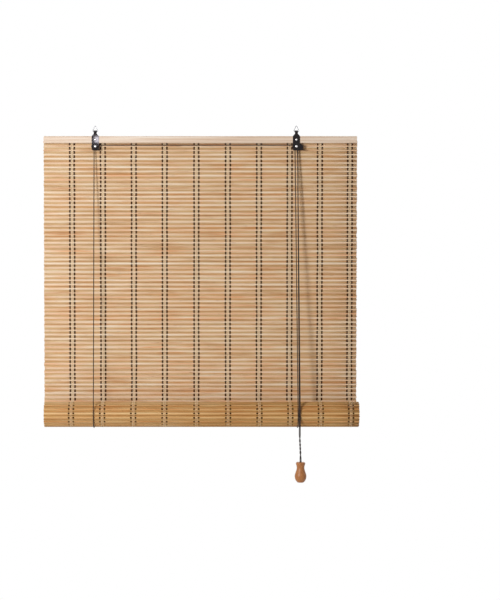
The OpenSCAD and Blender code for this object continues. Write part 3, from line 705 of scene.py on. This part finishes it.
def barShape(kind, cuts):
    # one bar along X, one unit long, with its height along Y and its depth along Z
    pick = picks[kind]
    bm = bmesh.new()
    if kind == "stick":
        bmesh.ops.create_cone(bm, cap_ends=True, segments=weave["stickSides"], radius1=0.5, radius2=0.5,
                              depth=1, matrix=Matrix.Rotation(math.radians(90), 4, "Y"))
    else:
        bmesh.ops.create_cube(bm, size=1)
    bmesh.ops.scale(bm, vec=(1, pick["high"], pick["deep"]), verts=bm.verts[:])
    if kind != "stick":
        bmesh.ops.bevel(bm, geom=lengthways(bm), offset=pick["edge"], segments=1, profile=0.5,
                        affect="EDGES", material=-1)
    if cuts:
        bmesh.ops.subdivide_edges(bm, edges=lengthways(bm), cuts=cuts)
    mesh = bpy.data.meshes.new(kind + "Bar")
    bm.to_mesh(mesh)
    bm.free()
    return mesh


def randomWave(waves):
    return dice.uniform(*waves), dice.uniform(0, math.tau)


def addBar(bm, looks, shape, carry, middle, pick, slip=0.0):
    before = len(bm.verts)
    bm.from_mesh(shape)
    bm.verts.ensure_lookup_table()
    left = matLow.x + slip - dice.uniform(*weave["endsPast"])
    right = matHigh.x + slip + dice.uniform(*weave["endsPast"])
    least, reach, spread = chance["tone"]
    tone = least + reach * dice.betavariate(spread, spread)
    blush = dice.betavariate(*chance["blush"])
    centre = pick["back"] + pick["deep"] / 2
    waves = [randomWave(chance["swayWaves"]) for _ in range(2)]
    for vert in bm.verts[before:]:
        x = left + (vert.co.x + 0.5) * (right - left)
        sway = [weave["sway"] * math.sin(math.tau * turns * x + phase) for turns, phase in waves]
        vert[looks["tone"]], vert[looks["blush"]] = tone, blush
        # painted shade weight: 1 on the sides facing the neighbouring bars, 0 on the front and back
        vert[looks["creaseShade"]] = smoothStep((pick["deep"] / 2 - abs(vert.co.z)) / pick["edge"])
        vert[looks["inside"]] = 1.0 if vert.co.z > 0 else 0.0
        vert.co = carry(x, middle + vert.co.y + sway[0], centre + vert.co.z + sway[1] / 2)


def newBars():
    bm = bmesh.new()
    for name in barLooks:
        bm.verts.layers.float.new(name)
    return bm, {name: bm.verts.layers.float[name] for name in barLooks}


def pieceName(node):
    first, *others = node.split("_")
    return first + "".join(word.capitalize() for word in others)


def makeBars(kind, carry, rows, slot, node, body, slip=0.0):
    pick = picks[kind]
    shape = barShape(kind, weave["cuts"])
    bm, looks = newBars()
    for row in range(rows):
        for middle in pick["middles"]:
            addBar(bm, looks, shape, carry, row * period + middle, pick, slip)
    bpy.data.meshes.remove(shape)
    return makePiece(pieceName(node), bm, slot, [node], body, smooth=kind == "stick")


# thread paths through one row, as (length down the row, depth), in millimetres
behindSlat, behindThin, behindStick = 1.95, 2.05, 3.9
overSlat, overThin, overStick = -0.02, 0.08, 0.38
besideSlat, besideThin = 0.45, 0.5
overStickPath = [(0.6, behindSlat), (4.4, behindSlat), (4.6, besideSlat), (5.2, overStick),
                 (7.3, overStick), (7.9, besideThin), (8.1, behindThin), (8.98, behindThin),
                 (9.2, besideThin), (9.8, overStick), (11.85, overStick), (12.2, besideSlat)]
overSlatPath = [(0.1, overSlat), (4.9, overSlat), (5.75, behindStick), (6.8, behindStick),
                (7.75, overThin), (9.3, overThin), (10.25, behindStick), (11.3, behindStick)]


def addRibbon(bm, carry, x, wide, path, rows, drift, closed):
    keys = [(row * period + along * mm, deep * mm) for row in range(rows) for along, deep in path]
    if closed:
        keys.append((rows * period + path[0][0] * mm, path[0][1] * mm))
    last = len(keys) - 1
    made = bmesh.ops.create_grid(bm, x_segments=1, y_segments=last, size=1)
    for vert in made["verts"]:
        along, deep = keys[round((vert.co.y + 1) / 2 * last)]
        wander = 0 if closed else sum(math.sin(math.tau * turns * along + phase) for turns, phase in drift)
        vert.co = carry(x + vert.co.x * wide / 2 + wander * threads["wander"] / 2, along, deep)


def columnPlaces():
    first = matLow.x + threads["firstColumn"]
    last = matHigh.x - threads["lastColumn"]
    steps = threads["columns"] - 1
    even = threads["evenColumns"]
    places = []
    for i in range(threads["columns"]):
        bow = math.sin(math.pi * max(0, i - even) / (steps - even))
        places.append(first + (last - first) * i / steps + threads["columnDrift"] * bow)
    return places


threadThick = {"dark_thread": threads["darkThick"], "pale_thread": threads["paleThick"]}


def makeRibbons(name, strips, carry, rows, slot, node, body, closed=False):
    # strips: (distance from the column's middle, width, path)
    bm = bmesh.new()
    for middle in columnPlaces():
        drifts = [[randomWave(chance["wanderWaves"]) for _ in range(2)] for _ in range(2)]
        for offset, wide, path in strips:
            addRibbon(bm, carry, middle + offset, wide, path, rows, drifts[offset > 0], closed)
    if closed:
        bmesh.ops.remove_doubles(bm, verts=bm.verts[:], dist=weldDistance)
    bm.normal_update()
    bmesh.ops.solidify(bm, geom=bm.faces[:], thickness=threadThick[slot])  # thickens towards the slats' front
    return makePiece(name, bm, slot, [node], body)


twinStep = (threads["paleWide"] + threads["paleGap"]) / 2
darkStrips = [(side * threads["darkApart"] / 2, threads["darkWide"], overStickPath) for side in (-1, 1)]
paleStrips = [(side * threads["paleApart"] / 2 + twin * twinStep, threads["paleWide"], overSlatPath)
              for side in (-1, 1) for twin in (-1, 1)]
binderStrips = [(0.0, threads["binderWide"], overStickPath)]
barParts = (("wide", "slat_bamboo", "wide_slats"), ("thin", "thin_bamboo", "thin_slats"),
            ("stick", "stick_bamboo", "round_sticks"))

rows = weave["rows"]
matPieces = [makeBars(kind, hanging, rows, slot, node, "root") for kind, slot, node in barParts]
matPieces += [
    makeRibbons("darkThreads", darkStrips, hanging, rows, "dark_thread", "dark_threads", "root"),
    makeRibbons("paleStitches", paleStrips, hanging, rows, "pale_thread", "front_stitching", "root"),
    makeRibbons("paleBinders", binderStrips, hanging, rows, "pale_thread", "back_stitching", "root")]
for piece in matPieces:
    shortenWithLift(piece)
print("mat woven")

# the part that bends under the roll, then the roll's outer turn
for stretch, carry, rows, body, slip in (("tail", underRoll, weave["tailRows"], "lift", 0.0),
                                         ("roll", outerTurn, weave["turnRows"], "roll", weave["rollSlip"])):
    for kind, slot, node in barParts:
        makeBars(kind, carry, rows, slot, stretch + "_" + node, body, slip)
    closed = stretch == "roll"
    makeRibbons(stretch + "DarkThreads", darkStrips, carry, rows, "dark_thread",
                stretch + "_dark_threads", body, closed)
    makeRibbons(stretch + "Stitches", paleStrips + binderStrips, carry, rows, "pale_thread",
                stretch + "_stitching", body, closed)

# inner turns: the same picks on a spiral down to the batten
innerTurns = {"outer": 31.2 * mm, "step": 4.0 * mm, "sweep": math.radians(1465), "sheet": 3.2 * mm}


def makeInnerTurns():
    order = [("wide", 0), ("stick", 0), ("thin", 0), ("stick", 1)]
    shapes = {kind: barShape(kind, 0) for kind in picks}
    bm, looks = newBars()
    angle = 0.0
    while angle < innerTurns["sweep"]:
        base = innerTurns["outer"] - innerTurns["step"] * angle / math.tau - innerTurns["sheet"]
        middleRadius = base + innerTurns["sheet"] / 2
        for kind, place in order:
            pick = picks[kind]
            turned = angle + pick["middles"][place] / middleRadius
            if turned < innerTurns["sweep"]:
                def carry(x, along, deep, turned=turned, base=base):
                    return roundRoll(x, turned + along / middleRadius, base + deep)
                addBar(bm, looks, shapes[kind], carry, 0.0, pick, weave["rollSlip"])
        angle += period / middleRadius
    for shape in shapes.values():
        bpy.data.meshes.remove(shape)
    return makePiece("innerTurns", bm, "stick_bamboo", ["roll_turns"], "roll", smooth=False)


makeInnerTurns()
print("roll wound")


# stage: a pale floor below the hanging blind, and soft light from the left
stageSetup = {"floorZ": -2.45, "floorSize": 12.0, "floorSides": 96, "floorTint": tint(244, 244, 244),
              "floorRough": 0.9, "fadeLeast": 0.3, "fadeTo": 1.4,
              "worldTint": tint(255, 242, 222), "worldLight": 0.3}


def makeFloor():
    bm = bmesh.new()
    bmesh.ops.create_circle(bm, cap_ends=True, segments=stageSetup["floorSides"],
                            radius=stageSetup["floorSize"],
                            matrix=Matrix.Translation((0, 0, stageSetup["floorZ"])))
    mesh = bpy.data.meshes.new("floor")
    bm.to_mesh(mesh)
    bm.free()
    material, tree, shader, place = newMaterial("floorPale", Roughness=stageSetup["floorRough"])
    shader.inputs["Base Color"].default_value = stageSetup["floorTint"]
    # near the middle the floor shows its shadows, and further out it fades to white
    flat = addNode(tree, "ShaderNodeVectorMath", {0: place, 1: (1, 1, 0)}, operation="MULTIPLY")
    away = addNode(tree, "ShaderNodeVectorMath", {0: flat.outputs["Vector"]}, operation="LENGTH")
    fade = remap(tree, away.outputs["Value"], 0.0, stageSetup["fadeTo"], stageSetup["fadeLeast"], 1.0)
    seen = addNode(tree, "ShaderNodeLightPath")
    shown = math2(tree, "MAXIMUM", seen.outputs["Is Camera Ray"], seen.outputs["Is Glossy Ray"])
    white = addNode(tree, "ShaderNodeEmission", {"Color": (1, 1, 1, 1), "Strength": 1.0})
    mix = addNode(tree, "ShaderNodeMixShader", {0: math2(tree, "MULTIPLY", fade, shown)})
    tree.links.new(shader.outputs["BSDF"], mix.inputs[1])
    tree.links.new(white.outputs["Emission"], mix.inputs[2])
    tree.links.new(mix.outputs["Shader"], tree.nodes["Material Output"].inputs["Surface"])
    mesh.materials.append(material)
    floor = bpy.data.objects.new("floor", mesh)
    bpy.context.collection.objects.link(floor)


def makeWorld():
    world = bpy.data.worlds.new("studio")
    bpy.context.scene.world = world
    world.use_nodes = True
    tree = world.node_tree
    tree.nodes.clear()
    soft = addNode(tree, "ShaderNodeBackground",
                   {"Color": stageSetup["worldTint"], "Strength": stageSetup["worldLight"]})
    white = addNode(tree, "ShaderNodeBackground", {"Color": (1, 1, 1, 1), "Strength": 1.0})
    seen = addNode(tree, "ShaderNodeLightPath")
    mirrored = math2(tree, "MAXIMUM", seen.outputs["Is Glossy Ray"], seen.outputs["Is Transmission Ray"])
    shown = math2(tree, "MAXIMUM", seen.outputs["Is Camera Ray"], mirrored)
    mix = addNode(tree, "ShaderNodeMixShader", {0: shown})
    tree.links.new(soft.outputs["Background"], mix.inputs[1])
    tree.links.new(white.outputs["Background"], mix.inputs[2])
    end = addNode(tree, "ShaderNodeOutputWorld")
    tree.links.new(mix.outputs["Shader"], end.inputs["Surface"])


# the key from the left, a small card that the left bracket mirrors, and a soft lamp behind
lamps = {
    "keyLamp": {"place": (-1.85, -2.9, 0.15), "aim": (-1.7, 0.0, -0.35), "size": 0.8, "power": 96,
                "tint": tint(250, 252, 255)},
    "glintCard": {"place": (-0.624, -6.0, 0.188), "aim": (-0.284, 0.0, -0.038), "size": 0.036, "power": 0.2,
                  "tint": tint(250, 244, 255)},
    "rearLamp": {"place": (1.7, 2.6, 0.8), "aim": (0.0, 0.0, -0.45), "size": 2.4, "power": 62,
                 "tint": tint(255, 251, 246)}}


def addLamp(name, setup):
    data = bpy.data.lights.new(name, "AREA")
    data.size = setup["size"]
    data.energy = setup["power"]
    data.color = setup["tint"][:3]
    lamp = bpy.data.objects.new(name, data)
    lamp.location = setup["place"]
    aim = Vector(setup["aim"]) - Vector(setup["place"])
    lamp.rotation_euler = aim.to_track_quat("-Z", "Y").to_euler()
    bpy.context.collection.objects.link(lamp)


makeFloor()
makeWorld()
for name, setup in lamps.items():
    addLamp(name, setup)
print("stage lit")
